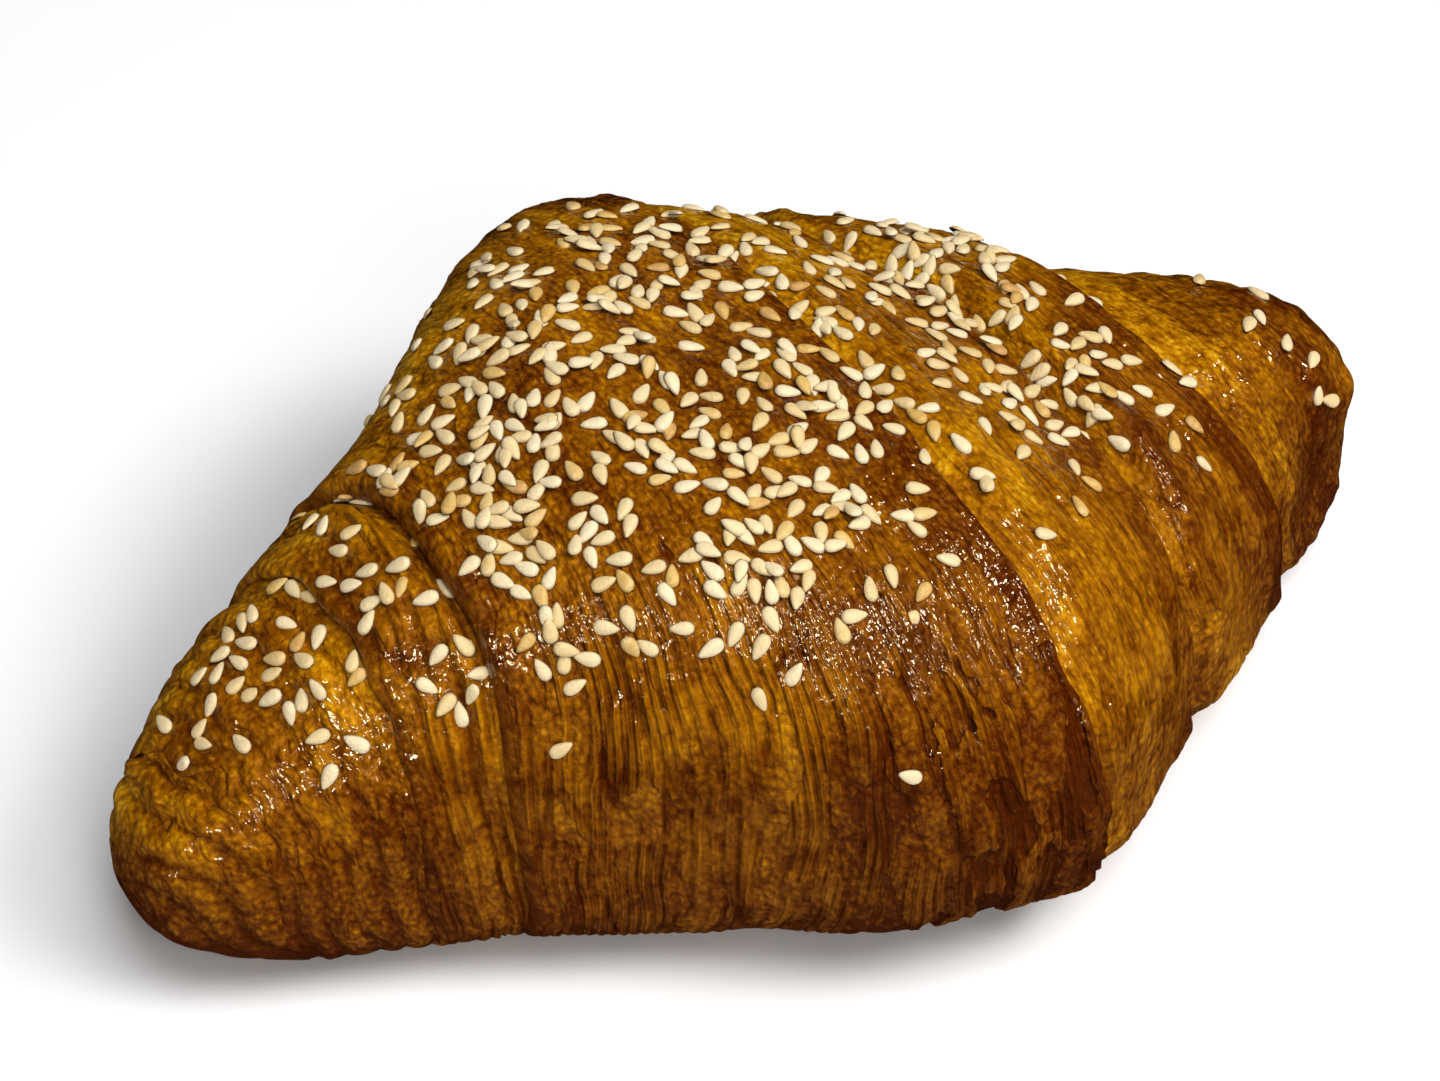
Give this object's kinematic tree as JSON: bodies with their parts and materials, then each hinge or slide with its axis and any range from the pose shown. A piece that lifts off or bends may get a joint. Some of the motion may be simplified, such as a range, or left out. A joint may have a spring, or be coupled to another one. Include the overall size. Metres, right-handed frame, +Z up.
{
  "type": "sesame croissant",
  "caption": "Straight, fat, glazed croissant with rolled bands, blunt ends and a flat underside, topped with sesame seeds.",
  "frame": {"origin": "middle of the flat underside, on the surface that the croissant lies on", "axes": "+X along the croissant towards its slim end, -Y to its front, +Z up"},
  "size_m": [0.184, 0.1244, 0.0673],
  "materials": {
    "crust": "egg-washed baked crust, glossy brown with golden strips",
    "sesame": "satin toasted seed"
  },
  "bodies": {
    "root": {"croissant_body": "crust", "sesame_seed_01": "sesame", "sesame_seed_02": "sesame", "sesame_seed_03": "sesame", "sesame_seed_04": "sesame", "sesame_seed_05": "sesame", "sesame_seed_06": "sesame", "sesame_seed_07": "sesame", "sesame_seed_08": "sesame", "sesame_seed_09": "sesame", "sesame_seed_10": "sesame", "sesame_seed_11": "sesame", "sesame_seed_12": "sesame", "sesame_seed_13": "sesame", "sesame_seed_14": "sesame", "sesame_seed_15": "sesame", "sesame_seed_16": "sesame", "sesame_seed_17": "sesame", "sesame_seed_18": "sesame", "sesame_seed_19": "sesame", "sesame_seed_20": "sesame", "sesame_seed_21": "sesame", "sesame_seed_22": "sesame", "sesame_seed_23": "sesame", "sesame_seed_24": "sesame", "sesame_seed_25": "sesame", "sesame_seed_26": "sesame", "sesame_seed_27": "sesame", "sesame_seed_28": "sesame", "sesame_seed_29": "sesame", "sesame_seed_30": "sesame", "sesame_seed_31": "sesame", "sesame_seed_32": "sesame", "sesame_seed_33": "sesame", "sesame_seed_34": "sesame", "sesame_seed_35": "sesame", "sesame_seed_36": "sesame", "sesame_seed_37": "sesame", "sesame_seed_38": "sesame", "sesame_seed_39": "sesame", "sesame_seed_40": "sesame", "sesame_seed_41": "sesame", "sesame_seed_42": "sesame", "sesame_seed_43": "sesame", "sesame_seed_44": "sesame", "sesame_seed_45": "sesame", "sesame_seed_46": "sesame", "sesame_seed_47": "sesame", "sesame_seed_48": "sesame", "sesame_seed_49": "sesame", "sesame_seed_50": "sesame", "sesame_seed_51": "sesame", "sesame_seed_52": "sesame", "sesame_seed_53": "sesame", "sesame_seed_54": "sesame", "sesame_seed_55": "sesame", "sesame_seed_56": "sesame"}
  },
  "joints": []
}
